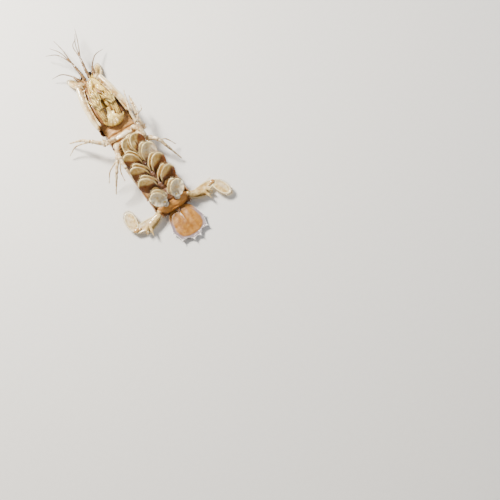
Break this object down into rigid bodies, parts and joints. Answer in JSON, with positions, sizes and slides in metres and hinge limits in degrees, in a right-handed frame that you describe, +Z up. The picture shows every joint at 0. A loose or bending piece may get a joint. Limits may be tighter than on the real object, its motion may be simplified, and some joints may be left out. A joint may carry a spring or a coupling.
{
  "type": "mantis shrimp",
  "caption": "Still life-size mantis shrimp lying on its back, claws folded beside the mouth, legs and swimming legs spread, tail fan open.",
  "frame": {"origin": "centre of the bounding box at floor level, under the animal's back", "axes": "+Z up towards the belly, which faces up; -Y towards the head, +Y towards the tail; +X towards the animal's right side"},
  "size_m": [0.087, 0.2004, 0.0236],
  "materials": {
    "back_shell": "wet tan-brown shell with darker rear edges",
    "belly_shell": "wet tan membrane with pale whitish bars",
    "claw_ivory": "smooth wet ivory",
    "claw_merus": "wet pinkish brown",
    "mouth_cream": "wet cream turning yellow at the tips",
    "leg_ivory": "wet ivory",
    "swimming_leaf": "wet olive-tan leaf with pale rim",
    "tail_plate": "wet amber with a lilac-grey rim and white teeth",
    "tail_paddle": "wet cream with pale edges",
    "cornea": "glossy near-black",
    "feeler": "amber brown"
  },
  "bodies": {
    "root": {"carapace": "back_shell", "rostral_plate": "back_shell", "head_front": "belly_shell", "thoracic_somite_5": "belly_shell", "thoracic_somite_6": "belly_shell", "thoracic_somite_7": "belly_shell", "thoracic_somite_8": "belly_shell", "abdominal_somite_1": "back_shell", "abdominal_somite_2": "back_shell", "abdominal_somite_3": "back_shell", "abdominal_somite_4": "back_shell", "abdominal_somite_5": "back_shell", "abdominal_somite_6": "back_shell", "telson": "tail_plate", "mouthparts": "mouth_cream", "eyestalk_right": "belly_shell", "cornea_right": "cornea", "antennule_right": "feeler", "antenna_right": "feeler", "antennal_scale_right": "tail_paddle", "claw_merus_right": "claw_merus", "claw_hand_right": "claw_ivory", "claw_finger_right": "claw_ivory", "maxilliped_1_right": "mouth_cream", "maxilliped_3_right": "mouth_cream", "maxilliped_4_right": "mouth_cream", "maxilliped_5_right": "mouth_cream", "walking_leg_1_right": "leg_ivory", "walking_leg_2_right": "leg_ivory", "walking_leg_3_right": "leg_ivory", "pleopod_1_right": "swimming_leaf", "pleopod_2_right": "swimming_leaf", "pleopod_3_right": "swimming_leaf", "pleopod_4_right": "swimming_leaf", "pleopod_5_right": "swimming_leaf", "uropod_right": "tail_paddle", "eyestalk_left": "belly_shell", "cornea_left": "cornea", "antennule_left": "feeler", "antenna_left": "feeler", "antennal_scale_left": "tail_paddle", "claw_merus_left": "claw_merus", "claw_hand_left": "claw_ivory", "claw_finger_left": "claw_ivory", "maxilliped_1_left": "mouth_cream", "maxilliped_3_left": "mouth_cream", "maxilliped_4_left": "mouth_cream", "maxilliped_5_left": "mouth_cream", "walking_leg_1_left": "leg_ivory", "walking_leg_2_left": "leg_ivory", "walking_leg_3_left": "leg_ivory", "pleopod_1_left": "swimming_leaf", "pleopod_2_left": "swimming_leaf", "pleopod_3_left": "swimming_leaf", "pleopod_4_left": "swimming_leaf", "pleopod_5_left": "swimming_leaf", "uropod_left": "tail_paddle"}
  },
  "joints": []
}
